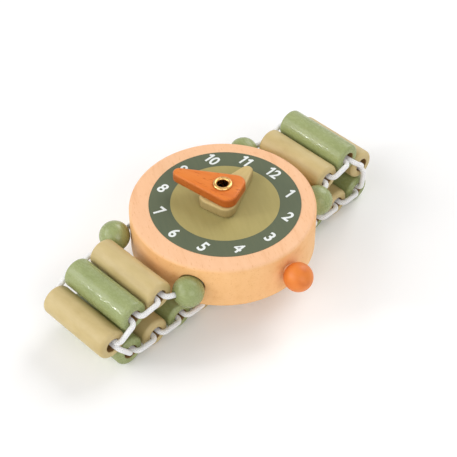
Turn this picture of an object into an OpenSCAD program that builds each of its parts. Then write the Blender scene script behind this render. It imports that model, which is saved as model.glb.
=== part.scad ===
// Wooden toy watch: a round case with a printed dial, two hands that turn on a hollow eyelet,
// a ball crown, and a strap of painted tubes laced on elastic into one loop.
// Millimetres. The origin is on the hands' axis at the face of the case, +Z out of the dial,
// +Y to twelve o'clock and +X to the crown at three. The strap lies flat, as it does on a table.

/* [Case] */
// Diameter of the case
case_d = 48; // [44:1:54]
// Thickness of the case
case_h = 13; // [10:0.5:15]
// Rounding of the case's two edges
case_edge = 1; // [0.4:0.1:2]

/* [Dial] */
// Diameter of the dark ring of the print
ring_d = 39; // [34:1:42]
// Diameter of the plain middle of the print
middle_d = 28; // [20:1:32]
// Thickness of the printed colour
print_t = 0.1; // [0.05:0.05:0.2]
// How far the print sits off centre, toward three o'clock
print_to_3 = 0.2; // [0:0.1:0.6]
// How far the print sits off centre, toward twelve o'clock
print_to_12 = 0.6; // [0:0.1:0.8]

/* [Hands] */
// Thickness of each hand
hand_t = 3; // [2:0.1:4]
// Width of a hand across its blunt base
hand_w = 10.2; // [9:0.1:12]
// Reach of the base behind the pivot
hand_back = 5; // [4.5:0.1:7]
// Rounding of the base's two corners
hand_corner = 2.7; // [1:0.1:3.5]
// Radius of a hand's tip
hand_tip_r = 1.6; // [1:0.1:2.5]
// Reach of the minute hand from the pivot
minute_reach = 13.8; // [10:0.1:18]
// Reach of the hour hand from the pivot
hour_reach = 12.9; // [9:0.1:16]
// Direction of the minute hand, clockwise from twelve
minute_turn = 249; // [0:1:359]
// Direction of the hour hand, clockwise from twelve
hour_turn = 348; // [0:1:359]
// Space under each hand
hand_gap = 0.2; // [0.1:0.05:0.4]

/* [Eyelet] */
// Bore of the hollow eyelet
eyelet_bore = 2.9; // [2:0.1:3.5]
// Wall of the eyelet's barrel
eyelet_wall = 0.4; // [0.3:0.05:0.6]
// Radius of the rolled lips, seen in section
eyelet_lip = 0.55; // [0.45:0.05:0.8]
// Running clearance round the barrel
pivot_gap = 0.05; // [0.02:0.01:0.1]
// Diameter of the washer under the case
washer_d = 7; // [6.5:0.5:9]
// Thickness of the washer
washer_t = 0.8; // [0.5:0.1:1]

/* [Crown] */
// Diameter of the crown ball
crown_d = 7.5; // [6:0.5:10]
// Space between the crown ball and the case
crown_gap = 0.1; // [0.1:0.1:1]
// Direction of the crown, clockwise from three o'clock
crown_turn = 2.5; // [-8:0.5:8]
// How far the crown sits above the middle of the case's side
crown_up = 0.8; // [-1.5:0.1:1.5]
// Diameter of the crown's peg
peg_d = 3; // [2:0.5:4]
// Depth of the peg in the case
peg_in_case = 7; // [4:0.5:12]
// Depth of the peg in the ball
peg_in_ball = 5; // [3:0.5:6]
// Glue space at the end of each peg hole
peg_glue = 0.3; // [0.2:0.1:0.6]

/* [Strap] */
// Diameter of a strap tube
tube_d = 8; // [7:0.5:9]
// Length of a strap tube
tube_l = 22; // [18:0.5:26]
// Rounding of a tube's ends
tube_edge = 1; // [0.5:0.1:1.5]
// Space between neighbouring tubes
tube_gap = 0.4; // [0.2:0.1:0.8]
// Space between the case and the tubes that lie under it
under_gap = 0.3; // [0.2:0.1:1]
// How far the strap lies off the case's middle, toward nine o'clock
strap_to_9 = 2; // [0:0.5:3]
// How far the tube under the case's middle lies toward twelve o'clock
row_to_12 = 1.5; // [-1:0.5:2]
// Slope from the beads up to the first tube, six o'clock side
rise_6 = 9; // [4:1:28]
// Slope from the first tube to the second, six o'clock side
onward_6 = -6; // [-10:1:10]
// Slope from the beads up to the first tube, twelve o'clock side
rise_12 = 10; // [4:1:28]
// Slope from the first tube to the second, twelve o'clock side
onward_12 = 15; // [-10:1:18]

/* [Beads] */
// Diameter of a round bead
bead_d = 8; // [7:0.5:9]
// Distance of a bead's middle outward from the tubes' ends
bead_beside = 2.7; // [2:0.05:3.5]
// Space between a bead and the end of the first tube
bead_gap = 0.4; // [0.3:0.1:0.8]
// Space between a bead and its seat in the case
seat_gap = 0.3; // [0.2:0.05:0.5]
// Slant of a bead's hole toward the tube's end
bead_slant = 18; // [12:1:22]

/* [Elastic] */
// Diameter of the elastic
cord_d = 1.3; // [1:0.1:1.6]
// Space between the two strands inside a tube where the strap bends most
strand_gap = 0.1; // [0.1:0.05:0.3]
// Space between a strand and the bore round it
cord_gap = 0.15; // [0.1:0.05:0.3]
// Bend radius of the elastic's middle line
cord_bend = 1.3; // [1.1:0.1:1.6]
// How far a bow's middle line stands out of the tubes' ends
bow_out = 1.1; // [1:0.1:1.8]
// Diameter of the knot
knot_d = 2.6; // [2.4:0.1:3.2]
// Length of the knot
knot_l = 4; // [3:0.5:6]

/* [Hidden] */
$fn = 64;

// colours
beech = "#f3cfa0";
dark_green = "#65775f";
olive = "#b5a96d";
orange = "#e5823a";
brass = "#c9a24a";
tan_paint = "#d6c18a";
green_paint = "#9aa66c";
white_elastic = "#f2f0ec";

// case
case_r = case_d / 2;
case_mid_z = -case_h / 2;
case_under_z = -case_h;

// stack on the hands' axis
barrel_r = eyelet_bore / 2 + eyelet_wall;
pivot_r = barrel_r + pivot_gap;
lip_mid_r = eyelet_bore / 2 + eyelet_lip;
hour_z = print_t + hand_gap;
minute_z = hour_z + hand_t + hand_gap;
top_lip_z = minute_z + hand_t + hand_gap / 2;
washer_r = washer_d / 2;
washer_gap = 0.2;
set_depth = washer_t + eyelet_lip + washer_gap;
washer_z = case_under_z + set_depth - washer_t;

// crown
crown_r = crown_d / 2;
crown_x = case_r + crown_gap + crown_r;
peg_from = case_r - peg_in_case;
peg_to = crown_x - crown_r + peg_in_ball;

// strap sizes
tube_r = tube_d / 2;
bead_r = bead_d / 2;
cord_r = cord_d / 2;
link = tube_d + tube_gap;
half_tube = tube_l / 2;
row_z = case_under_z - under_gap - tube_r;
// the flat row takes the tubes that lie under half the case, and two more past its edge
row_past_count = 2;
row_side_count = round(case_r / link) + row_past_count;
raised_count = 3;
root_tube = row_side_count + raised_count + 1;
tube_total = 2 * root_tube - 1;

// names of the sub-parts
function two_digits(k) = k < 10 ? str("0", k) : str(k);
function tube_name(k) = str("tube_", two_digits(k));
function elastic_name(k) = str("elastic_", two_digits(k), "_", two_digits(k + 1));

// bead places: the outer pair just touches the case wall, the inner pair sinks into its seats
bead_x = half_tube + bead_beside;
bead_y = sqrt(pow(case_r + bead_r + seat_gap / 2, 2) - pow(bead_x + strap_to_9, 2));
bead_z = case_mid_z;
bead_clear = bead_r + tube_edge + bead_gap;
bead_along = bead_beside + tube_edge;
bead_link = tube_r - tube_edge + sqrt(pow(bead_clear, 2) - pow(bead_along, 2));

// strap loop in the plane of Y and Z: one point for the middle of each tube
function step(angle, length) = length * [cos(angle), sin(angle)];
function apex(a, b, length) =
    let(gap = b - a, half = norm(gap) / 2, rise = sqrt(length * length - half * half))
    (a + b) / 2 + rise * [-gap[1], gap[0]] / norm(gap);
bead_6 = [-bead_y, bead_z];
bead_12 = [bead_y, bead_z];
row = [for (k = [-row_side_count : row_side_count]) [row_to_12 + k * link, row_z]];
row_end = len(row) - 1;
tube_1 = bead_6 + step(180 - rise_6, bead_link);
tube_2 = tube_1 + step(180 - onward_6, link);
tube_3 = apex(row[0], tube_2, link);
tube_17 = bead_12 + step(rise_12, bead_link);
tube_16 = tube_17 + step(onward_12, link);
tube_15 = apex(tube_16, row[row_end], link);
tubes = concat([tube_1, tube_2, tube_3], row, [tube_15, tube_16, tube_17]);

// bend of the strap at each tube, and the lane that keeps the two strands apart at the sharpest one
chain = concat([bead_6], tubes, [bead_12]);
function heading(a, b) = atan2(b[1] - a[1], b[0] - a[0]);
function turn(a, b) = abs(((b - a + 540) % 360) - 180);
bends = [for (k = [1 : tube_total])
    turn(heading(chain[k - 1], chain[k]), heading(chain[k], chain[k + 1]))];
lane = (cord_d + strand_gap) / (2 * cos(max(bends) / 2));
tube_bore = 2 * (lane + cord_r + cord_gap);
bow_x = half_tube + bow_out;
arc_x = bow_x - cord_bend;
stub_from = 0.3;
cord_sides = 12;
bend_steps = 6;

// elastic through the beads and the case
bead_hole_r = cord_r + 2 * cord_gap;
slant_to_x = 90 - bead_slant;
bead_rise = bead_link - lane - cord_bend * (1 - cos(slant_to_x));
bead_arc_x = bead_x - cord_bend * sin(slant_to_x) - bead_rise / tan(slant_to_x);
case_bore_r = knot_d / 2 + cord_gap;
cord_stop = bead_y - bead_r - 2 * seat_gap;
knot_y = -cord_stop / 3;
knot_bevel = 0.6;

// Rod along X from one end to the other, turned about itself so that its facets meet those of a bend
module rod_x(from, to, r, about = 0) {
    translate([from, 0, 0]) rotate([0, 90, 0]) rotate([0, 0, about]) cylinder(r = r, h = to - from);
}

// Rod along Y from one end to the other
module rod_y(from, to, r) {
    translate([0, from, 0]) rotate([-90, 0, 0]) cylinder(r = r, h = to - from);
}

// Turns a child that lies along X to the crown's side and height
module toward_crown() {
    translate([0, 0, case_mid_z + crown_up]) rotate([0, 0, -crown_turn]) children();
}

// Half outline of a round bar with rounded rims, for turning: radius, height, edge rounding
module turned_outline(r, h, edge) {
    square([r - edge, h]);
    translate([0, edge]) square([r, h - 2 * edge]);
    for (z = [edge, h - edge]) translate([r - edge, z]) circle(r = edge);
}

// Beech block with its seats, bores, peg hole and the recess for the washer
module case() {
    color(beech) difference() {
        translate([0, 0, case_under_z])
            rotate_extrude($fn = 128) turned_outline(case_r, case_h, case_edge);
        translate([0, 0, case_under_z - 1]) cylinder(r = pivot_r, h = case_h + 2);
        translate([0, 0, case_under_z - 1]) cylinder(r = washer_r + washer_gap, h = set_depth + 1);
        toward_crown() rod_x(peg_from - peg_glue, case_r + 1, peg_d / 2);
        for (side = [-1, 1]) translate([side * bead_x - strap_to_9, 0, bead_z]) {
            rod_y(-case_d, case_d, case_bore_r);
            for (end = [-1, 1]) translate([0, end * bead_y, 0]) sphere(r = bead_r + seat_gap);
        }
    }
}

// Printed ring and middle, thin layers of colour on the face
module dial_ring() {
    color(dark_green) translate([print_to_3, print_to_12, 0]) difference() {
        cylinder(d = ring_d, h = print_t, $fn = 128);
        translate([0, 0, -1]) cylinder(d = middle_d, h = print_t + 2, $fn = 128);
    }
}

module dial_middle() {
    color(olive) difference() {
        translate([print_to_3, print_to_12, 0]) cylinder(d = middle_d, h = print_t, $fn = 128);
        translate([0, 0, -1]) cylinder(r = pivot_r, h = print_t + 2);
    }
}

// Flat outline of a hand that points along +Y: a round tip, straight flanks, two round base corners
module hand_outline(reach) {
    corner = [hand_w / 2 - hand_corner, hand_corner - hand_back];
    tip = [0, reach - hand_tip_r];
    flank = tip - corner;
    lean = atan2(-flank[0], flank[1]) + asin((hand_corner - hand_tip_r) / norm(flank));
    outward = [cos(lean), sin(lean)];
    low = corner + hand_corner * outward;
    high = tip + hand_tip_r * outward;
    translate(tip) circle(r = hand_tip_r);
    for (side = [-1, 1]) translate([side * corner[0], corner[1]]) circle(r = hand_corner);
    polygon([
        low, high, [-high[0], high[1]], [-low[0], low[1]],
        [-corner[0], -hand_back], [corner[0], -hand_back]
    ]);
}

module hand(reach, angle, z) {
    translate([0, 0, z]) difference() {
        rotate([0, 0, -angle]) linear_extrude(hand_t) hand_outline(reach);
        translate([0, 0, -1]) cylinder(r = pivot_r, h = hand_t + 2);
    }
}

module hour_hand() {
    color(olive) hand(hour_reach, hour_turn, hour_z);
}

module minute_hand() {
    color(orange) hand(minute_reach, minute_turn, minute_z);
}

// Hollow eyelet: a thin barrel with a rolled lip over the hands and another under the washer
module eyelet() {
    color(brass) rotate_extrude() {
        translate([eyelet_bore / 2, washer_z]) square([eyelet_wall, top_lip_z - washer_z]);
        intersection() {
            translate([lip_mid_r, top_lip_z]) circle(r = eyelet_lip);
            translate([0, top_lip_z]) square([washer_r, eyelet_lip]);
        }
        intersection() {
            translate([lip_mid_r, washer_z]) circle(r = eyelet_lip);
            translate([0, washer_z - eyelet_lip]) square([washer_r, eyelet_lip]);
        }
    }
}

module eyelet_washer() {
    color(brass) translate([0, 0, washer_z]) difference() {
        cylinder(r = washer_r, h = washer_t);
        translate([0, 0, -1]) cylinder(r = pivot_r, h = washer_t + 2);
    }
}

// Crown ball on its glued peg
module crown_ball() {
    color(orange) toward_crown() translate([crown_x, 0, 0]) difference() {
        sphere(r = crown_r);
        rod_x(-crown_d, peg_in_ball - crown_r + peg_glue, peg_d / 2);
    }
}

module crown_peg() {
    color(beech) toward_crown() rod_x(peg_from, peg_to, peg_d / 2);
}

// Places a child in the frame of one link: local X along the tubes, local Y from one middle to the next
module on_link(from, to) {
    translate([-strap_to_9, from[0], from[1]]) rotate([heading(from, to), 0, 0]) children();
}

// Round bead with its slanted hole, on the link that runs from a tube to the bead
module bead(from, to, side) {
    color(green_paint) on_link(from, to) mirror([side < 0 ? 1 : 0, 0, 0])
        translate([bead_x, bead_link, 0]) difference() {
            sphere(r = bead_r);
            rotate([0, 0, -bead_slant]) rod_y(-bead_d, bead_d, bead_hole_r);
        }
}

module bead_6_left() { bead(tube_1, bead_6, -1); }
module bead_6_right() { bead(tube_1, bead_6, 1); }
// the left and right of the twelve o'clock side are seen from the same side of the watch
module bead_12_left() { bead(tube_17, bead_12, -1); }
module bead_12_right() { bead(tube_17, bead_12, 1); }

// Painted tube with rounded ends and a bore for both strands
module tube(k) {
    middle = tubes[k - 1];
    color(k % 2 == 1 ? tan_paint : green_paint)
        translate([-strap_to_9 - half_tube, middle[0], middle[1]]) rotate([0, 90, 0]) difference() {
            rotate_extrude() turned_outline(tube_r, tube_l, tube_edge);
            translate([0, 0, -1]) cylinder(d = tube_bore, h = tube_l + 2);
        }
}

// Quarter or shorter bend of elastic, round a centre, from one angle through a sweep
module bend(centre, from, sweep) {
    translate(centre) rotate([0, 0, from])
        rotate_extrude(angle = sweep) translate([cord_bend, 0]) circle(r = cord_r);
}

// Elastic of one link: through the far tube, a bow at each end, and back to the middle of the near tube
module bows(near, far) {
    color(white_elastic) on_link(near, far) {
        translate([0, link - lane, 0]) rod_x(-arc_x, arc_x, cord_r, 90);
        for (side = [0, 1]) mirror([side, 0, 0]) {
            translate([0, lane, 0]) rod_x(stub_from, arc_x, cord_r, -90);
            bend([arc_x, lane + cord_bend, 0], -90, 90);
            translate([bow_x, 0, 0]) rod_y(lane + cord_bend, link - lane - cord_bend, cord_r);
            bend([arc_x, link - lane - cord_bend, 0], 0, 90);
        }
    }
}

// Link between tube k and the next one, laced outward from the tube under the case's middle
module elastic_link(k) {
    if (k < root_tube) bows(tubes[k], tubes[k - 1]);
    else bows(tubes[k - 1], tubes[k]);
}

// Elastic swept along points in the plane of a link: a ring of points round each, square to its way
module swept_elastic(way) {
    last = len(way) - 1;
    ring = [for (s = [0 : cord_sides - 1]) 360 * s / cord_sides];
    rounds = [for (i = [0 : last])
        let(across = heading(way[max(i - 1, 0)], way[min(i + 1, last)]) + 90)
        for (a = ring) concat(way[i] + step(across, cord_r * cos(a)), cord_r * sin(a))];
    sides = [for (i = [0 : last - 1], s = [0 : cord_sides - 1])
        let(near = i * cord_sides, far = near + cord_sides, next = (s + 1) % cord_sides)
        for (face = [[near + s, near + next, far + next], [near + s, far + next, far + s]]) face];
    near_end = [for (s = [1 : cord_sides - 2]) [0, s + 1, s]];
    far_end = [for (face = near_end) [for (s = [2, 1, 0]) last * cord_sides + face[s]]];
    polyhedron(points = rounds, faces = concat(sides, near_end, far_end));
}

// Elastic from the last tube's ends through the two beads on one side of the case
module bead_strands(tube_at, bead_at) {
    bow = [for (i = [0 : bend_steps])
        [bead_arc_x, lane + cord_bend] + step(slant_to_x * i / bend_steps - 90, cord_bend)];
    way = concat([[stub_from, lane]], bow, [[bead_x, bead_link] + step(slant_to_x, bead_r)]);
    color(white_elastic) on_link(tube_at, bead_at)
        for (side = [0, 1]) mirror([side, 0, 0]) swept_elastic(way);
}

module elastic_6_beads() { bead_strands(tube_1, bead_6); }
module elastic_12_beads() { bead_strands(tube_17, bead_12); }

// Elastic inside the two bores of the case, the left one tied in a knot
module elastic_case() {
    color(white_elastic) translate([-strap_to_9, 0, bead_z]) {
        translate([bead_x, 0, 0]) rod_y(-cord_stop, cord_stop, cord_r);
        translate([-bead_x, 0, 0]) {
            rod_y(-cord_stop, knot_y - knot_l / 2, cord_r);
            rod_y(knot_y + knot_l / 2, cord_stop, cord_r);
        }
    }
}

module elastic_knot() {
    color(white_elastic) translate([-strap_to_9 - bead_x, knot_y - knot_l / 2, bead_z]) rotate([-90, 0, 0])
        rotate_extrude() turned_outline(knot_d / 2, knot_l, knot_bevel);
}

case();
dial_ring();
dial_middle();
hour_hand();
minute_hand();
eyelet();
eyelet_washer();
crown_ball();
crown_peg();
bead_6_left();
bead_6_right();
bead_12_left();
bead_12_right();
for (k = [1 : tube_total]) {
    tube(k);
}
for (k = [1 : tube_total - 1]) {
    elastic_link(k);
}
elastic_6_beads();
elastic_12_beads();
elastic_case();
elastic_knot();
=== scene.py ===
from math import asin, atan2, cos, pi, radians, sin, sqrt, tan

import bmesh
import bpy
from mathutils import Matrix, Vector


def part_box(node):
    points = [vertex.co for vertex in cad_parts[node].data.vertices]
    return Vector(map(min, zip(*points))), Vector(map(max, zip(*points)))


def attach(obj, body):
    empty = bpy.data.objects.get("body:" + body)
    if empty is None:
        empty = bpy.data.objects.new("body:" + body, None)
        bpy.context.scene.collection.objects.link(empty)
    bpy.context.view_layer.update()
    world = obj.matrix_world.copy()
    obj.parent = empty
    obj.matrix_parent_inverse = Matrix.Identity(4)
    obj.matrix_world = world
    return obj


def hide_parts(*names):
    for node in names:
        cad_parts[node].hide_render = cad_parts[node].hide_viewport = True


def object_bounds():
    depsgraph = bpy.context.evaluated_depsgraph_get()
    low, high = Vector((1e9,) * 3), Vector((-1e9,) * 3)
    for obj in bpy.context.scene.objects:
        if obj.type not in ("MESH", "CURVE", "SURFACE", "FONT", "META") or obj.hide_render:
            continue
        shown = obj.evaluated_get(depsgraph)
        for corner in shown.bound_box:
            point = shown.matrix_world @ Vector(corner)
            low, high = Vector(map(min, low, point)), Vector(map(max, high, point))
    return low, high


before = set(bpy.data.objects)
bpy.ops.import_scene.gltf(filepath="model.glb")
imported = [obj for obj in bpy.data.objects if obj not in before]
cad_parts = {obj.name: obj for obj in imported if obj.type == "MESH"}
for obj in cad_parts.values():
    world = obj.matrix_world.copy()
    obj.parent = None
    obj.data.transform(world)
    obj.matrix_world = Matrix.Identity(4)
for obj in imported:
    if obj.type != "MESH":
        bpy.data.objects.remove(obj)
cad_box = [list(corner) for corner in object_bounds()]
scene = bpy.context.scene
scene.view_settings.view_transform = "Standard"


# The table that the watch lies on: one large sheet of matt white card that reaches out of sight all round.
# It takes the soft shadow and runs to plain white in the background.
TABLE_Z = cad_box[0][2]
TABLE_HALF = 3.0
TABLE_SQUARES = 8
WHITE = (1, 1, 1, 1)
CARD_WHITE = (0.96, 0.96, 0.96, 1)
CARD_GLOW = 0.07
CARD_ROUGH = 0.9
CARD_GLOSS = 0.1
FIBRE_SCALE = 900
FIBRE_DETAIL = 3
NAP_STRENGTH = 0.03
NAP_DEPTH = 0.0001
WELD = 1e-7


def shader_of(name):
    """A new material, its node tree and its main shader."""
    material = bpy.data.materials.new(name)
    material.use_nodes = True
    tree = material.node_tree
    return material, tree, tree.nodes["Principled BSDF"]


def node_of(tree, kind, **settings):
    """One more node in a tree, with its properties set."""
    made = tree.nodes.new(kind)
    for key, value in settings.items():
        setattr(made, key, value)
    return made


def feed(tree, socket, value):
    """Links a socket to another one, or sets it to a plain value."""
    if isinstance(value, bpy.types.NodeSocket):
        tree.links.new(value, socket)
    else:
        socket.default_value = value


def reckon(tree, operation, *terms):
    """One step of arithmetic on sockets or plain numbers."""
    made = node_of(tree, "ShaderNodeMath", operation=operation)
    for socket, term in zip(made.inputs, terms):
        feed(tree, socket, term)
    return made.outputs[0]


def in_sight(tree):
    """One where a ray looks at the surface, straight, in gloss or through glass, and nought elsewhere."""
    rays = node_of(tree, "ShaderNodeLightPath").outputs
    looked = reckon(tree, "MAXIMUM", rays["Is Camera Ray"], rays["Is Glossy Ray"])
    return reckon(tree, "MAXIMUM", looked, rays["Is Transmission Ray"])


def piece_from(bm, name, *materials, smooth=True):
    """Merges and closes a mesh, turns its faces outward and makes it a piece."""
    bmesh.ops.remove_doubles(bm, verts=bm.verts, dist=WELD)
    bmesh.ops.recalc_face_normals(bm, faces=bm.faces)
    mesh = bpy.data.meshes.new(name)
    bm.to_mesh(mesh)
    bm.free()
    for material in materials:
        mesh.materials.append(material)
    for face in mesh.polygons:
        face.use_smooth = smooth
    piece = bpy.data.objects.new(name, mesh)
    scene.collection.objects.link(piece)
    return piece


card, tree, shader = shader_of("white_card")
where = node_of(tree, "ShaderNodeTexCoord")
fibre = node_of(tree, "ShaderNodeTexNoise")
fibre.inputs["Scale"].default_value = FIBRE_SCALE
fibre.inputs["Detail"].default_value = FIBRE_DETAIL
tree.links.new(where.outputs["Object"], fibre.inputs["Vector"])
nap = node_of(tree, "ShaderNodeBump")
nap.inputs["Strength"].default_value = NAP_STRENGTH
nap.inputs["Distance"].default_value = NAP_DEPTH
tree.links.new(fibre.outputs["Fac"], nap.inputs["Height"])
tree.links.new(nap.outputs["Normal"], shader.inputs["Normal"])
shader.inputs["Base Color"].default_value = CARD_WHITE
shader.inputs["Roughness"].default_value = CARD_ROUGH
shader.inputs["Specular IOR Level"].default_value = CARD_GLOSS
glow = node_of(tree, "ShaderNodeEmission")
glow.inputs["Color"].default_value = WHITE
tree.links.new(reckon(tree, "MULTIPLY", in_sight(tree), CARD_GLOW), glow.inputs["Strength"])
paper = node_of(tree, "ShaderNodeAddShader")
tree.links.new(shader.outputs[0], paper.inputs[0])
tree.links.new(glow.outputs[0], paper.inputs[1])
tree.links.new(paper.outputs[0], tree.nodes["Material Output"].inputs["Surface"])

bm = bmesh.new()
bmesh.ops.create_grid(bm, x_segments=TABLE_SQUARES, y_segments=TABLE_SQUARES, size=TABLE_HALF)
bmesh.ops.translate(bm, verts=bm.verts, vec=(0, 0, TABLE_Z))
table = piece_from(bm, "table", card, smooth=False)


# The room: a white studio all round, a small window at the left of the picture that draws the thin streaks
# of gloss along the strap, and four broad soft panels, the strongest of them behind the watch.
SKY_TINT = (1, 0.975, 0.955, 1)
SKY_STRENGTH = 0.3
PANEL_AWAY = 1.8
world = bpy.data.worlds.new("studio")
scene.world = world
world.use_nodes = True
tree = world.node_tree
sky = tree.nodes["Background"]
sky.inputs["Color"].default_value = SKY_TINT
sky.inputs["Strength"].default_value = SKY_STRENGTH
backdrop = node_of(tree, "ShaderNodeBackground")
backdrop.inputs["Color"].default_value = WHITE
backdrop.inputs["Strength"].default_value = 1
choice = node_of(tree, "ShaderNodeMixShader")
tree.links.new(in_sight(tree), choice.inputs[0])
tree.links.new(sky.outputs[0], choice.inputs[1])
tree.links.new(backdrop.outputs[0], choice.inputs[2])
tree.links.new(choice.outputs[0], tree.nodes["World Output"].inputs["Surface"])


def panel(name, toward, size, watts):
    """A square soft white light that faces the middle of the watch."""
    light = bpy.data.lights.new(name, "AREA")
    light.shape = "SQUARE"
    light.size = size
    light.energy = watts
    lamp = bpy.data.objects.new(name, light)
    way = Vector(toward).normalized()
    lamp.location = way * PANEL_AWAY
    lamp.rotation_euler = way.to_track_quat("Z", "Y").to_euler()
    scene.collection.objects.link(lamp)


panel("window", (-0.50, -0.78, 0.37), size=0.18, watts=4.4)
panel("left_panel", (-0.59, -0.56, 0.58), size=1.0, watts=8.8)
panel("front_left_panel", (0.0, -0.86, 0.5), size=1.2, watts=9.4)
panel("front_right_panel", (0.84, -0.22, 0.5), size=1.2, watts=11.0)
panel("back_panel", (-0.07, 0.76, 0.65), size=1.2, watts=16.4)


# The camera stands at the crown's side, looking down on the dial with twelve o'clock to the upper right.
# Its place and its long lens give the photograph's own view and frame.
MM = 0.001
CAMERA_TURN = radians(45.29)
CAMERA_RISE = radians(44.15)
CAMERA_AWAY = 339.93 * MM
CAMERA_RIGHT = 1.46 * MM
CAMERA_UP = 2.16 * MM
AIM = Vector((0, 0, -12 * MM))
FOCAL_PIXELS = 1300
PICTURE_PIXELS = 457
SENSOR_WIDE = 36
NEAREST_SEEN = 10 * MM
eye = bpy.data.cameras.new("camera")
eye.sensor_fit = "HORIZONTAL"
eye.sensor_width = SENSOR_WIDE
eye.lens = SENSOR_WIDE * FOCAL_PIXELS / PICTURE_PIXELS
eye.clip_start = NEAREST_SEEN
camera = bpy.data.objects.new("camera", eye)
scene.collection.objects.link(camera)
scene.camera = camera
back = Vector((sin(CAMERA_TURN) * cos(CAMERA_RISE), -cos(CAMERA_TURN) * cos(CAMERA_RISE), sin(CAMERA_RISE)))
right = Vector((cos(CAMERA_TURN), sin(CAMERA_TURN), 0))
up = back.cross(right)
stand = AIM + back * CAMERA_AWAY + right * CAMERA_RIGHT + up * CAMERA_UP
camera.matrix_world = Matrix((
    (right.x, up.x, back.x, stand.x),
    (right.y, up.y, back.y, stand.y),
    (right.z, up.z, back.z, stand.z),
    (0, 0, 0, 1)))


# The case: one block of beech, turned on a lathe, bored across for the elastic and sanded smooth.
# It is left unpainted under a thin clear oil, so its grain and short dark flecks show.
RING_SCALE = (300, 45, 220)
PORE_SCALE = (2400, 520, 2400)
PORE_STRENGTH = 0.25
PORE_DEPTH = 0.08 * MM
WOOD_GLOSS = 0.22
WOOD_UNEVEN = 0.06
CASE_GRAIN = radians(62)


def linear(r, g, b):
    """A colour as it is read off a screen, 0 to 255, for a shader's socket."""
    shares = [c / 255 for c in (r, g, b)]
    return tuple(c / 12.92 if c <= 0.04045 else ((c + 0.055) / 1.055) ** 2.4 for c in shares) + (1,)


def stretched(tree, scale, turn=(0, 0, 0)):
    """Object coordinates, turned and then stretched along the grain."""
    where = node_of(tree, "ShaderNodeTexCoord")
    lie = node_of(tree, "ShaderNodeMapping", vector_type="TEXTURE")
    lie.inputs["Rotation"].default_value = turn
    tree.links.new(where.outputs["Object"], lie.inputs["Vector"])
    size = node_of(tree, "ShaderNodeMapping")
    size.inputs["Scale"].default_value = scale
    tree.links.new(lie.outputs["Vector"], size.inputs["Vector"])
    return size.outputs["Vector"]


def cloud(tree, vector, detail, rough):
    """Soft noise on stretched coordinates."""
    made = node_of(tree, "ShaderNodeTexNoise")
    made.inputs["Scale"].default_value = 1
    made.inputs["Detail"].default_value = detail
    made.inputs["Roughness"].default_value = rough
    tree.links.new(vector, made.inputs["Vector"])
    return made.outputs["Fac"]


def ramp(tree, amount, *stops):
    """Colours along an amount from 0 to 1."""
    made = node_of(tree, "ShaderNodeValToRGB")
    band = made.color_ramp
    while len(band.elements) < len(stops):
        band.elements.new(1)
    for mark, (at, colour) in zip(band.elements, stops):
        mark.position = at
        mark.color = colour
    tree.links.new(amount, made.inputs["Fac"])
    return made.outputs["Color"]


def blend(tree, amount, low, high, mode="MIX"):
    """Two colours laid over each other.

    A mix node has its colours in sockets 6 and 7, and its result in 2.
    """
    made = node_of(tree, "ShaderNodeMix", data_type="RGBA", blend_type=mode)
    feed(tree, made.inputs[0], amount)
    feed(tree, made.inputs[6], low)
    feed(tree, made.inputs[7], high)
    return made.outputs[2]


def spread(tree, amount, low, high, start=0.3, end=0.7):
    """An amount spread over another range."""
    made = node_of(tree, "ShaderNodeMapRange")
    tree.links.new(amount, made.inputs["Value"])
    for socket, value in (("From Min", start), ("From Max", end), ("To Min", low), ("To Max", high)):
        made.inputs[socket].default_value = value
    return made.outputs["Result"]


def relief(tree, shader, height, strength, depth):
    """Small bumps on the surface."""
    made = node_of(tree, "ShaderNodeBump")
    made.inputs["Strength"].default_value = strength
    made.inputs["Distance"].default_value = depth
    tree.links.new(height, made.inputs["Height"])
    tree.links.new(made.outputs["Normal"], shader.inputs["Normal"])


def bare_wood(name, light, middle, dark, turn, rough=0.5, fleck=0.5, side=WHITE):
    """Sanded wood whose grain runs along its own Y after the turn about Z, with painted shade on its upright
    sides.
    """
    material, tree, shader = shader_of(name)
    rings = cloud(tree, stretched(tree, RING_SCALE, (0, 0, turn)), detail=4, rough=0.6)
    pores = cloud(tree, stretched(tree, PORE_SCALE, (0, 0, turn)), detail=2, rough=0.5)
    grain = ramp(tree, rings, (0.3, light), (0.55, middle), (0.85, dark))
    short = ramp(tree, pores, (0.60, (0, 0, 0, 1)), (0.72, WHITE))
    flecked = blend(tree, reckon(tree, "MULTIPLY", short, fleck), grain, dark)
    facing = node_of(tree, "ShaderNodeTexCoord")
    parts = node_of(tree, "ShaderNodeSeparateXYZ")
    tree.links.new(facing.outputs["Normal"], parts.inputs[0])
    # Painted shade: faces that stand upright are multiplied by the side colour, so they render darker than
    # the top.
    upright = spread(tree, parts.outputs["Z"], 1, 0, start=0.1, end=0.9)
    shaded_sides = blend(tree, 1.0, flecked, side, "MULTIPLY")
    tree.links.new(blend(tree, upright, flecked, shaded_sides), shader.inputs["Base Color"])
    tree.links.new(spread(tree, rings, rough - WOOD_UNEVEN, rough + WOOD_UNEVEN), shader.inputs["Roughness"])
    relief(tree, shader, pores, PORE_STRENGTH, PORE_DEPTH)
    shader.inputs["Specular IOR Level"].default_value = WOOD_GLOSS
    return material


def dress(node, material):
    """Gives a CAD node its finish."""
    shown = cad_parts[node]
    shown.data.materials.clear()
    shown.data.materials.append(material)


# The case's upright wall carries painted shade: its colour is multiplied by the side colour, warmer and
# darker than the top.
beech = bare_wood("beech", linear(248, 199, 158), linear(245, 194, 151), linear(229, 170, 122), CASE_GRAIN,
                  fleck=0.6, side=(1, 0.97, 0.74, 1))
dress("case", beech)


# The dial: a dark green ring round an olive middle, pad-printed on the sanded face in two flat inks,
# a little off centre. The wood's grain shows through the thin ink as a faint unevenness.
INK_GRAIN = (900, 120, 900)
INK_GLOSS = 0.22
INK_STRENGTH = 0.12
INK_DEPTH = 0.05 * MM


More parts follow.
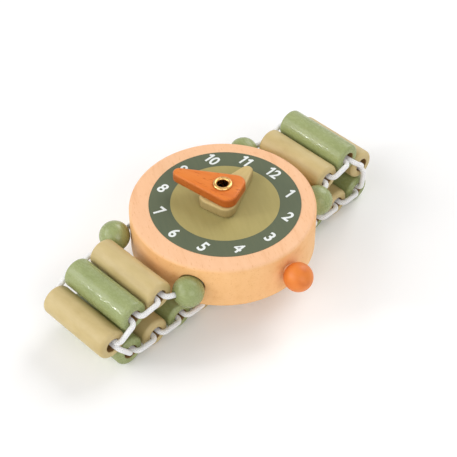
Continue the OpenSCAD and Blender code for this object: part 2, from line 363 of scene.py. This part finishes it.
def ink(name, colour, deep):
    """Matt printing ink on the case's wood."""
    material, tree, shader = shader_of(name)
    mottle = cloud(tree, stretched(tree, INK_GRAIN, (0, 0, CASE_GRAIN)), detail=4, rough=0.6)
    tree.links.new(ramp(tree, mottle, (0.3, deep), (0.7, colour)), shader.inputs["Base Color"])
    tree.links.new(spread(tree, mottle, 0.5, 0.62), shader.inputs["Roughness"])
    relief(tree, shader, mottle, INK_STRENGTH, INK_DEPTH)
    shader.inputs["Specular IOR Level"].default_value = INK_GLOSS
    return material


dress("dial_ring", ink("green_ink", linear(97, 104, 81), linear(90, 99, 77)))
dress("dial_middle", ink("olive_ink", linear(175, 162, 105), linear(169, 156, 98)))


# The numbers: white ink printed over the ring in the same pass, bold and upright all the way round,
# so thin that only their colour stands out.
NUMBER_HIGH = 3.4 * MM
NUMBER_NARROW = 0.93
NUMBER_RADIUS = 16.9 * MM
NUMBER_TURN = radians(3.1)
NUMBER_THICK = 0.03 * MM
# Widths as shares of a number's height.
NUMBER_STROKE = 0.175
NUMBER_SPACE = 0.12
# The stem and the flag of a one: place across and up, length, lean, and thickness.
ONE_BARS = ((0, 0.5, 1, 0, 1), (-0.12, 0.84, 0.36, radians(-50), 0.9))
LETTER_SWELL = 0.008
LETTER_ROUND = 0.017
LETTER_FLAT = 0.005
ring_low, ring_high = (Vector(corner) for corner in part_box("dial_ring"))
ring_middle = (ring_low + ring_high) / 2


def extent(bm):
    """Two corners of the box round a mesh."""
    return [Vector(pick(v.co[i] for v in bm.verts) for i in range(3)) for pick in (min, max)]


def figure(char):
    """One figure of the dial, flat and 1 high: the one is a bar and its flag, the others are lettering."""
    flat = bmesh.new()
    if char == "1":
        for x, y, length, lean, thick in ONE_BARS:
            bar = bmesh.ops.create_cube(flat, size=1)["verts"]
            bmesh.ops.scale(flat, verts=bar, vec=(NUMBER_STROKE, length, thick))
            bmesh.ops.rotate(flat, verts=bar, cent=(0, 0, 0), matrix=Matrix.Rotation(lean, 3, "Z"))
            bmesh.ops.translate(flat, verts=bar, vec=(x, y, 0))
        return flat
    letters = bpy.data.curves.new("figure", "FONT")
    letters.body = char
    letters.offset = LETTER_SWELL
    letters.bevel_depth = LETTER_ROUND
    letters.extrude = LETTER_FLAT
    holder = bpy.data.objects.new("figure", letters)
    scene.collection.objects.link(holder)
    flat.from_mesh(holder.to_mesh())
    holder.to_mesh_clear()
    bpy.data.objects.remove(holder)
    bpy.data.curves.remove(letters)
    low, high = extent(flat)
    size = high - low
    bmesh.ops.translate(flat, verts=flat.verts, vec=(-low.x, -low.y, -(low.z + high.z) / 2))
    bmesh.ops.scale(flat, verts=flat.verts, vec=(NUMBER_NARROW / size.y, 1 / size.y, 1 / size.z))
    return flat


def join(bm, other):
    """Adds another mesh to a mesh and frees the other."""
    whole = bpy.data.meshes.new("joined")
    other.to_mesh(whole)
    other.free()
    bm.from_mesh(whole)
    bpy.data.meshes.remove(whole)


bm = bmesh.new()
for hour in range(1, 13):
    figures = [figure(char) for char in str(hour)]
    boxes = [extent(flat) for flat in figures]
    wide = sum(high.x - low.x for low, high in boxes) + NUMBER_SPACE * (len(figures) - 1)
    angle = hour * pi / 6 + NUMBER_TURN
    place = ring_middle + Vector((sin(angle), cos(angle), 0)) * NUMBER_RADIUS
    place.z = ring_high.z + NUMBER_THICK / 2
    left = -wide / 2
    for flat, (low, high) in zip(figures, boxes):
        bmesh.ops.translate(flat, verts=flat.verts, vec=(left - low.x, -0.5, 0))
        left += high.x - low.x + NUMBER_SPACE
        bmesh.ops.scale(flat, verts=flat.verts, vec=(NUMBER_HIGH, NUMBER_HIGH, NUMBER_THICK))
        bmesh.ops.translate(flat, verts=flat.verts, vec=place)
        join(bm, flat)
white_ink = ink("white_ink", linear(240, 244, 242), linear(230, 235, 233))
numbers = piece_from(bm, "dial_numbers", white_ink, smooth=False)
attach(numbers, "case")


# The eyelet and its washer: thin sheet brass. The barrel goes down through both hands and the case, and its
# ends are rolled over, so the hands turn on it under a round lip.
BORE_R = 1.45 * MM
SHEET = 0.4 * MM
LIP_R = 0.55 * MM
LIP_EDGE = 0.98 * LIP_R
ROUND_STEPS = 64
SCUFF_SCALE = (1200, 1200, 1200)
SCUFF_STRENGTH = 0.08
SCUFF_DEPTH = 0.05 * MM


def turned(outline, steps=ROUND_STEPS):
    """A closed outline of radius and height, turned round the Z axis."""
    bm = bmesh.new()
    marks = [bm.verts.new((r, 0, z)) for r, z in outline]
    sides = [bm.edges.new((a, b)) for a, b in zip(marks, marks[1:] + marks[:1])]
    bmesh.ops.spin(bm, geom=marks + sides, cent=(0, 0, 0), axis=(0, 0, 1), angle=2 * pi, steps=steps,
                   use_merge=True)
    bmesh.ops.remove_doubles(bm, verts=bm.verts, dist=WELD)
    return bm


def rims(bm, radius, heights):
    """The round edges of a turned piece at one radius and some heights."""
    near = 1e-6
    return [e for e in bm.edges if any(all(
        abs(v.co.xy.length - radius) < near and abs(v.co.z - z) < near for v in e.verts) for z in heights)]


def ease(bm, edges, width, segments):
    """Rounds edges over."""
    bmesh.ops.bevel(bm, geom=edges, offset=width, offset_type="OFFSET", affect="EDGES", segments=segments,
                    profile=0.5, material=-1)


brass, tree, shader = shader_of("brass")
scuff = cloud(tree, stretched(tree, SCUFF_SCALE), detail=4, rough=0.65)
tree.links.new(ramp(tree, scuff, (0.3, linear(176, 130, 70)), (0.7, linear(220, 178, 116))),
               shader.inputs["Base Color"])
tree.links.new(spread(tree, scuff, 0.18, 0.32), shader.inputs["Roughness"])
relief(tree, shader, scuff, SCUFF_STRENGTH, SCUFF_DEPTH)
shader.inputs["Metallic"].default_value = 1

lip_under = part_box("eyelet")[0][2]
lip_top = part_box("eyelet")[1][2]
lip_to = lip_under + LIP_R
lip_from = lip_top - LIP_R
lip_out = BORE_R + 2 * LIP_R
bm = turned(((BORE_R, lip_under), (lip_out, lip_under), (lip_out, lip_to), (BORE_R + SHEET, lip_to),
             (BORE_R + SHEET, lip_from), (lip_out, lip_from), (lip_out, lip_top), (BORE_R, lip_top)))
lip_rims = rims(bm, lip_out, (lip_top, lip_under)) + rims(bm, BORE_R, (lip_top, lip_under))
ease(bm, lip_rims, LIP_EDGE, segments=6)
eyelet = piece_from(bm, "eyelet_rolled", brass)
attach(eyelet, "case")
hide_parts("eyelet")
dress("eyelet_washer", brass)


# The hands: sawn from 3 mm beech sheet, their edges rounded by tumbling, then stained so that the grain
# stays visible, the short one olive and the long one orange. Both are drilled for the eyelet.
HAND_T = 3 * MM
HAND_W = 10.2 * MM
HAND_BACK = 5 * MM
HAND_CORNER = 2.7 * MM
HAND_TIP = 1.6 * MM
HAND_EDGE = 0.65 * MM
HAND_ARC_STEPS = 14
PIVOT_R = 1.9 * MM
PIVOT_STEPS = 48
PIVOT_CLEAR_R = 1.05 * PIVOT_R
RIM_ANGLE = radians(60)
SHARP_ANGLE = radians(50)
HOUR_REACH = 12.9 * MM
HOUR_TURN = -radians(348)
MINUTE_REACH = 13.8 * MM
MINUTE_TURN = -radians(249)


def edges_at(verts):
    """The edges that meet some vertices, each once and in a fixed order."""
    return list(dict.fromkeys(e for v in verts for e in v.link_edges))


def last_vert(arc):
    """The far end of a vertex that was spun."""
    return [g for g in arc["geom_last"] if isinstance(g, bmesh.types.BMVert)][0]


def hand(name, node, body, reach, turn, material):
    """A drop-shaped plate with soft edges, drilled for the eyelet, that lies where the CAD hand does."""
    corner = Vector((HAND_W / 2 - HAND_CORNER, HAND_CORNER - HAND_BACK))
    tip = Vector((0, reach - HAND_TIP))
    flank = tip - corner
    lean = atan2(-flank.x, flank.y) + asin((HAND_CORNER - HAND_TIP) / flank.length)
    bm = bmesh.new()
    ends = []
    for centre, r, start, stop in ((corner, HAND_CORNER, -pi / 2, lean), (tip, HAND_TIP, lean, pi - lean),
                                   (Vector((-corner.x, corner.y)), HAND_CORNER, pi - lean, 1.5 * pi)):
        first = bm.verts.new((centre.x + r * cos(start), centre.y + r * sin(start), 0))
        arc = bmesh.ops.spin(bm, geom=[first], cent=(centre.x, centre.y, 0), axis=(0, 0, 1),
                             angle=stop - start, steps=HAND_ARC_STEPS)
        ends.append((first, last_vert(arc)))
    for (_, last), (first, _) in zip(ends, ends[1:] + ends[:1]):
        bm.edges.new((last, first))
    outer = list(bm.edges)
    hole = bmesh.ops.create_circle(bm, segments=PIVOT_STEPS, radius=PIVOT_R)["verts"]
    bmesh.ops.bridge_loops(bm, edges=outer + edges_at(hole))
    bmesh.ops.recalc_face_normals(bm, faces=bm.faces)
    bmesh.ops.solidify(bm, geom=list(bm.faces), thickness=HAND_T)
    bottom = min(v.co.z for v in bm.verts)
    bmesh.ops.translate(bm, verts=bm.verts, vec=(0, 0, -bottom))
    edges = [e for e in bm.edges
             if abs(e.verts[0].co.z - e.verts[1].co.z) < WELD
             and len(e.link_faces) == 2 and e.calc_face_angle(0) > RIM_ANGLE
             and min(v.co.xy.length for v in e.verts) > PIVOT_CLEAR_R]
    ease(bm, edges, HAND_EDGE, segments=4)
    bmesh.ops.rotate(bm, verts=bm.verts, cent=(0, 0, 0), matrix=Matrix.Rotation(turn, 3, "Z"))
    bmesh.ops.translate(bm, verts=bm.verts, vec=(0, 0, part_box(node)[0][2]))
    piece = piece_from(bm, name, material)
    piece.data.set_sharp_from_angle(angle=SHARP_ANGLE)
    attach(piece, body)
    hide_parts(node)


# The hands' upright sides carry painted shade: their stain is multiplied by the side colour, darker than the
# faces.
olive_stain = bare_wood("olive_stain", linear(213, 188, 130), linear(206, 181, 121), linear(188, 162, 101),
                        HOUR_TURN, rough=0.45, fleck=0.4, side=(0.6, 0.6, 0.6, 1))
orange_stain = bare_wood("orange_stain", linear(231, 135, 60), linear(223, 122, 49), linear(193, 91, 32),
                         MINUTE_TURN, rough=0.42, fleck=0.85, side=(0.6, 0.54, 0.44, 1))
hand("hour_hand_wood", "hour_hand", "hour_hand", HOUR_REACH, HOUR_TURN, olive_stain)
hand("minute_hand_wood", "minute_hand", "minute_hand", MINUTE_REACH, MINUTE_TURN,
     orange_stain)


# The crown: a 7.5 mm wooden ball, dipped in satin orange paint and glued on a beech peg that goes into the
# side of the case, a little past three o'clock. It doesn't turn.
CROWN_R = 3.75 * MM
CROWN_AWAY = 27.85 * MM
CROWN_Z = -5.7 * MM
CROWN_TURN = radians(2.5)
PEG_R = 1.5 * MM
PEG_CLEAR = 0.02 * MM
PEG_HOLE = 5.3 * MM
HOLE_EDGE = 0.25 * MM
BALL_ARC_STEPS = 32
MARKS_ACROSS = 1900
PATCH_SCALE = (140, 260, 260)
PAINT_DEPTH = 0.1 * MM
PAINT_GLOSS = 0.42


def paint(name, colour, deep, pale, rough, dull, streak, dent):
    """Paint over turned wood: a little uneven, with faint marks and dull specks along the grain."""
    material, tree, shader = shader_of(name)
    long_marks = cloud(tree, stretched(tree, (streak, MARKS_ACROSS, MARKS_ACROSS)), detail=3, rough=0.6)
    patch = cloud(tree, stretched(tree, PATCH_SCALE), detail=3, rough=0.55)
    body = ramp(tree, patch, (0.3, deep), (0.5, colour), (0.72, pale))
    marked = blend(tree, spread(tree, long_marks, 0.0, 0.22, start=0.56, end=0.75), body, deep)
    tree.links.new(marked, shader.inputs["Base Color"])
    tree.links.new(spread(tree, long_marks, rough, dull, start=0.44, end=0.58), shader.inputs["Roughness"])
    relief(tree, shader, long_marks, dent, PAINT_DEPTH)
    shader.inputs["Specular IOR Level"].default_value = PAINT_GLOSS
    return material


def ball(radius, hole_r, deep):
    """A ball drilled along Z from its top, right through where deep is its diameter or more."""
    top = sqrt(radius * radius - hole_r * hole_r)
    bm = bmesh.new()
    start = bm.verts.new((hole_r, 0, top))
    through = deep >= 2 * radius
    swing = pi - 2 * asin(hole_r / radius) if through else pi - asin(hole_r / radius)
    arc = bmesh.ops.spin(bm, geom=[start], cent=(0, 0, 0), axis=(0, 1, 0), angle=swing, steps=BALL_ARC_STEPS)
    last = last_vert(arc)
    if through:
        bm.edges.new((last, start))
    else:
        last.co.x = 0
        floor_edge = bm.verts.new((hole_r, 0, radius - deep))
        floor_mid = bm.verts.new((0, 0, radius - deep))
        bm.edges.new((start, floor_edge))
        bm.edges.new((floor_edge, floor_mid))
    bmesh.ops.spin(bm, geom=list(bm.verts) + list(bm.edges), cent=(0, 0, 0), axis=(0, 0, 1), angle=2 * pi,
                   steps=ROUND_STEPS, use_merge=True)
    bmesh.ops.remove_doubles(bm, verts=bm.verts, dist=WELD)
    if through:
        ease(bm, rims(bm, hole_r, (top, -top)), HOLE_EDGE, segments=3)
    return bm


orange_paint = paint("orange_paint", linear(226, 126, 47), linear(213, 110, 37), linear(232, 138, 58),
                     rough=0.42, dull=0.46, streak=700, dent=0.05)
bm = ball(CROWN_R, PEG_R + PEG_CLEAR, PEG_HOLE)
bmesh.ops.rotate(bm, verts=bm.verts, cent=(0, 0, 0), matrix=Matrix.Rotation(-pi / 2, 3, "Y"))
bmesh.ops.translate(bm, verts=bm.verts, vec=(CROWN_AWAY, 0, CROWN_Z))
bmesh.ops.rotate(bm, verts=bm.verts, cent=(0, 0, 0), matrix=Matrix.Rotation(-CROWN_TURN, 3, "Z"))
crown = piece_from(bm, "crown_painted", orange_paint)
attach(crown, "case")
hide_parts("crown_ball")
dress("crown_peg", beech)


# The strap tubes: 8 mm dowel cut to 22 mm, drilled through for the elastic, their ends tumbled round, and
# dip-painted tan and green in turn. The bores are bare wood, coloured a darker brown than the case's beech
# as painted shade inside the holes.
TUBE_R = 4 * MM
TUBE_HALF = 11 * MM
TUBE_EDGE = 1 * MM
TUBE_BORE_R = 1.852 * MM
TUBE_BORE_EDGE = 0.3 * MM
BORE_FACE_R = 1.02 * TUBE_BORE_R
TUBE_TOTAL = 17
STRAP_X = -2 * MM
tan_paint = paint("tan_paint", linear(199, 178, 125), linear(190, 168, 115), linear(206, 185, 134),
                  rough=0.42, dull=0.52, streak=420, dent=0.2)
green_paint = paint("green_paint", linear(151, 161, 107), linear(144, 154, 100), linear(157, 166, 113),
                    rough=0.14, dull=0.42, streak=900, dent=0.45)
# Bare wood for the bores, darkened well below the case's beech as painted shade in the deep holes.
shaded_bare_bore = bare_wood("shaded_bare_bore", linear(150, 118, 74), linear(134, 102, 60), linear(110, 82, 46), -pi / 2,
                      rough=0.8)

# The loop that the tubes make, from the beads at six o'clock round under the case to those at twelve:
# three tubes stand raised at each end and eleven lie on the table.
BEAD_Y = 23.365 * MM
BEAD_Z = -6.5 * MM
BEAD_LINK = 6.933 * MM
LINK = 8.4 * MM
ROW_MIDDLE = 1.5 * MM
ROW_SIDE_COUNT = 5
ROOT_TUBE = 9
RISE_6, ONWARD_6 = radians(9), radians(-6)
RISE_12, ONWARD_12 = radians(10), radians(15)


def step(angle, length):
    """A step in the plane of the loop, across the tubes."""
    return Vector((0, cos(angle), sin(angle))) * length


def apex(a, b):
    """The tube that bridges two others, on the outside of the loop."""
    gap = b - a
    rise = sqrt(LINK ** 2 - (gap.length / 2) ** 2)
    return (a + b) / 2 + Vector((0, -gap.z, gap.y)).normalized() * rise


bead_at = {"6": Vector((STRAP_X, -BEAD_Y, BEAD_Z)), "12": Vector((STRAP_X, BEAD_Y, BEAD_Z))}
row_z = TABLE_Z + TUBE_R
tube_at = {ROOT_TUBE + k: Vector((STRAP_X, ROW_MIDDLE + k * LINK, row_z))
           for k in range(-ROW_SIDE_COUNT, ROW_SIDE_COUNT + 1)}
tube_at[1] = bead_at["6"] + step(pi - RISE_6, BEAD_LINK)
tube_at[2] = tube_at[1] + step(pi - ONWARD_6, LINK)
tube_at[3] = apex(tube_at[4], tube_at[2])
tube_at[17] = bead_at["12"] + step(RISE_12, BEAD_LINK)
tube_at[16] = tube_at[17] + step(ONWARD_12, LINK)
tube_at[15] = apex(tube_at[16], tube_at[14])


def tube_name(k):
    """Name of a CAD tube and of the body that it rides on."""
    return "tube_%02d" % k


for k in range(1, TUBE_TOTAL + 1):
    bm = turned(((TUBE_BORE_R, -TUBE_HALF), (TUBE_R, -TUBE_HALF), (TUBE_R, TUBE_HALF),
                 (TUBE_BORE_R, TUBE_HALF)))
    for face in bm.faces:
        if face.calc_center_median().xy.length < BORE_FACE_R:
            face.material_index = 1
    ease(bm, rims(bm, TUBE_R, (-TUBE_HALF, TUBE_HALF)), TUBE_EDGE, segments=6)
    ease(bm, rims(bm, TUBE_BORE_R, (-TUBE_HALF, TUBE_HALF)), TUBE_BORE_EDGE, segments=3)
    bmesh.ops.rotate(bm, verts=bm.verts, cent=(0, 0, 0), matrix=Matrix.Rotation(pi / 2, 3, "Y"))
    bmesh.ops.translate(bm, verts=bm.verts, vec=tube_at[k])
    tube = piece_from(bm, tube_name(k) + "_painted", tan_paint if k % 2 else green_paint, shaded_bare_bore)
    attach(tube, tube_name(k))
    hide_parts(tube_name(k))


# The beads: four 8 mm wooden balls painted like the green tubes, drilled through. They sit where the strap
# meets the case, and their holes slant from the case to the ends of the first tube.
BEAD_R = 4 * MM
BEAD_HOLE_R = 0.95 * MM
BEAD_SLANT = radians(18)
BEAD_ENDS = {"6": 1, "12": 17}
BEAD_SIDES = {"left": -1, "right": 1}
BEAD_X = TUBE_HALF + 2.7 * MM
for end, k in BEAD_ENDS.items():
    link = bead_at[end] - tube_at[k]
    heading = atan2(link.z, link.y)
    for side, sign in BEAD_SIDES.items():
        node = "bead_%s_%s" % (end, side)
        bm = ball(BEAD_R, BEAD_HOLE_R, 2 * BEAD_R)
        inward = cos(BEAD_SLANT)
        along = Vector((sign * sin(BEAD_SLANT), inward * cos(heading), inward * sin(heading)))
        bmesh.ops.rotate(bm, verts=bm.verts, cent=(0, 0, 0),
                         matrix=Vector((0, 0, 1)).rotation_difference(along).to_matrix())
        bmesh.ops.translate(bm, verts=bm.verts, vec=bead_at[end] + Vector((sign * BEAD_X, 0, 0)))
        bead = piece_from(bm, node + "_painted", green_paint)
        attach(bead, "beads_" + end)
        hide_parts(node)


# The elastic: white round cord, a rubber core under a braided polyester sleeve. It laces through every tube
# from both sides, showing as one bow between each pair of tube ends, and is knotted inside the case.
CORD_R = 0.7 * MM
CORD_BEND = 1.3 * MM
CORD_SIDES = 16
MIRROR_WELD = 1e-6
LANE = 1.052 * MM
BOW_X = TUBE_HALF + 1.1 * MM
ARC_X = BOW_X - CORD_BEND
STUB_FROM = 0.3 * MM
BRAID_STRANDS = 6
BRAID_PITCH = 3.2 * MM
BRAID_STRENGTH = 0.5
BRAID_DEPTH = 0.08 * MM
CORD_ROUGH = 0.75
CORD_SHEEN = 0.15
CORD_GLOSS = 0.3

white_elastic, tree, shader = shader_of("white_elastic")
lay = node_of(tree, "ShaderNodeAttribute", attribute_name="lay")
split = node_of(tree, "ShaderNodeSeparateXYZ")
tree.links.new(lay.outputs["Vector"], split.inputs[0])
round_angle = reckon(tree, "ARCTAN2", split.outputs["Y"], split.outputs["X"])
turns = reckon(tree, "MULTIPLY", round_angle, BRAID_STRANDS)
run = reckon(tree, "MULTIPLY", split.outputs["Z"], 2 * pi * BRAID_STRANDS / BRAID_PITCH)
right_lay = reckon(tree, "SINE", reckon(tree, "ADD", turns, run))
left_lay = reckon(tree, "SINE", reckon(tree, "SUBTRACT", turns, run))
over = reckon(tree, "MAXIMUM", right_lay, left_lay)
# Painted shade in the braid: the grooves between the strands are coloured a darker grey than the raised
# strands.
raised = spread(tree, over, 0, 1, start=-0.6, end=1)
tree.links.new(ramp(tree, raised, (0, linear(222, 222, 224)), (0.5, linear(250, 250, 250))),
               shader.inputs["Base Color"])
relief(tree, shader, over, BRAID_STRENGTH, BRAID_DEPTH)
shader.inputs["Roughness"].default_value = CORD_ROUGH
shader.inputs["Sheen Weight"].default_value = CORD_SHEEN
shader.inputs["Specular IOR Level"].default_value = CORD_GLOSS


class Elastic:
    """A length of elastic that grows from its first ring, run by run and bend by bend."""

    def __init__(self, at, way):
        self.bm = bmesh.new()
        self.lay = self.bm.verts.layers.float_vector.new("lay")
        self.at, self.way, self.along = Vector(at), Vector(way).normalized(), 0.0
        turn = Vector((0, 0, 1)).rotation_difference(self.way).to_matrix().to_4x4()
        ring = bmesh.ops.create_circle(self.bm, segments=CORD_SIDES, radius=CORD_R, cap_ends=False)["verts"]
        for v in ring:
            v[self.lay] = Vector((v.co.x / CORD_R, v.co.y / CORD_R, 0))
        bmesh.ops.transform(self.bm, matrix=Matrix.Translation(self.at) @ turn, verts=ring)
        self.first_ring = edges_at(ring)
        self.ring = self.first_ring

    def grow(self, length):
        """One more ring, still on top of the last one."""
        made = bmesh.ops.extrude_edge_only(self.bm, edges=self.ring)["geom"]
        self.ring = [g for g in made if isinstance(g, bmesh.types.BMEdge)
                     and all(v in made for v in g.verts) and len(g.link_faces) == 1]
        verts = list(dict.fromkeys(v for e in self.ring for v in e.verts))
        self.along += length
        for v in verts:
            v[self.lay] = Vector((v[self.lay].x, v[self.lay].y, self.along))
        return verts

    def run_on(self, length, parts):
        """Goes straight on, in some even parts."""
        for _ in range(parts):
            bmesh.ops.translate(self.bm, verts=self.grow(length / parts), vec=self.way * length / parts)
            self.at = self.at + self.way * length / parts

    def bend_on(self, angle, parts=8):
        """Turns to the left in the local plane."""
        centre = self.at + Vector((-self.way.y, self.way.x, 0)) * CORD_BEND
        bit = Matrix.Rotation(angle / parts, 3, "Z")
        for _ in range(parts):
            bmesh.ops.rotate(self.bm, verts=self.grow(angle / parts * CORD_BEND), cent=centre, matrix=bit)
            self.at = centre + bit @ (self.at - centre)
            self.way = bit @ self.way

    def close(self, *rings):
        """Closes the elastic at some of its open rings."""
        for ring in rings:
            bmesh.ops.holes_fill(self.bm, edges=ring)

    def to_both_sides(self):
        """Adds the same length mirrored to the other side of the strap."""
        bmesh.ops.mirror(self.bm, geom=list(self.bm.verts) + list(self.bm.edges) + list(self.bm.faces),
                         matrix=Matrix.Identity(4), merge_dist=MIRROR_WELD, axis="X")

    def finish(self, name, body, node, place):
        """Puts the elastic in its place, as a piece that stands for a CAD node."""
        bmesh.ops.transform(self.bm, matrix=place, verts=self.bm.verts)
        piece = piece_from(self.bm, name, white_elastic)
        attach(piece, body)
        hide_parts(node)


def on_link(near, far):
    """Local X along the tubes, local Y from one middle to the next."""
    way = far - near
    return Matrix.Translation((STRAP_X, near.y, near.z)) @ Matrix.Rotation(atan2(way.z, way.y), 4, "X")


for k in range(1, TUBE_TOTAL):
    near, far = (k + 1, k) if k < ROOT_TUBE else (k, k + 1)
    elastic = Elastic((STUB_FROM, LANE, 0), (1, 0, 0))
    elastic.run_on(ARC_X - STUB_FROM, parts=4)
    elastic.bend_on(pi / 2)
    elastic.run_on(LINK - 2 * LANE - 2 * CORD_BEND, parts=2)
    elastic.bend_on(pi / 2)
    elastic.run_on(ARC_X, parts=4)
    elastic.close(elastic.first_ring)
    elastic.to_both_sides()
    name = "elastic_%02d_%02d" % (k, k + 1)
    elastic.finish(name + "_braided", tube_name(far), name, on_link(tube_at[near], tube_at[far]))

SLANT_TO_X = pi / 2 - BEAD_SLANT
BEAD_RISE = BEAD_LINK - LANE - CORD_BEND * (1 - cos(SLANT_TO_X))
BEAD_ARC_X = BEAD_X - CORD_BEND * sin(SLANT_TO_X) - BEAD_RISE / tan(SLANT_TO_X)
for end, k in BEAD_ENDS.items():
    elastic = Elastic((STUB_FROM, LANE, 0), (1, 0, 0))
    elastic.run_on(BEAD_ARC_X - STUB_FROM, parts=4)
    elastic.bend_on(SLANT_TO_X)
    elastic.run_on(BEAD_RISE / sin(SLANT_TO_X) + BEAD_R, parts=4)
    elastic.close(elastic.first_ring, elastic.ring)
    elastic.to_both_sides()
    elastic.finish("elastic_%s_beads_braided" % end, "beads_" + end, "elastic_%s_beads" % end,
                   on_link(tube_at[k], bead_at[end]))


# The strands in the case and their knot: the elastic runs straight through the case from bead to bead, and
# its two ends are tied on the side away from the crown and pulled in, so the knot stays out of sight.
KNOT_R = 1.3 * MM
KNOT_CORE_R = 0.2 * MM
KNOT_EDGE = 0.6 * MM
KNOT_STEPS = 32
case_low, case_high = (Vector(corner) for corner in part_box("elastic_case"))
knot_low, knot_high = (Vector(corner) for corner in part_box("elastic_knot"))
elastic = Elastic((STRAP_X + BEAD_X, case_low.y, 0), (0, 1, 0))
elastic.run_on(case_high.y - case_low.y, parts=8)
elastic.close(elastic.first_ring, elastic.ring)
for low, high in ((case_low.y, knot_low.y), (knot_high.y, case_high.y)):
    strand = Elastic((STRAP_X - BEAD_X, low, 0), (0, 1, 0))
    strand.run_on(high - low, parts=4)
    strand.close(strand.first_ring, strand.ring)
    join(elastic.bm, strand.bm)
elastic.finish("elastic_case_braided", "case", "elastic_case",
               Matrix.Translation((0, 0, (case_low.z + case_high.z) / 2)))
bm = turned(((KNOT_CORE_R, knot_low.y), (KNOT_R, knot_low.y), (KNOT_R, knot_high.y),
             (KNOT_CORE_R, knot_high.y)), KNOT_STEPS)
ease(bm, rims(bm, KNOT_R, (knot_low.y, knot_high.y)), KNOT_EDGE, segments=5)
bmesh.ops.rotate(bm, verts=bm.verts, cent=(0, 0, 0), matrix=Matrix.Rotation(-pi / 2, 3, "X"))
bmesh.ops.translate(bm, verts=bm.verts, vec=(STRAP_X - BEAD_X, 0, (knot_low.z + knot_high.z) / 2))
knot = piece_from(bm, "elastic_knot_tied", white_elastic)
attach(knot, "case")
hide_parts("elastic_knot")
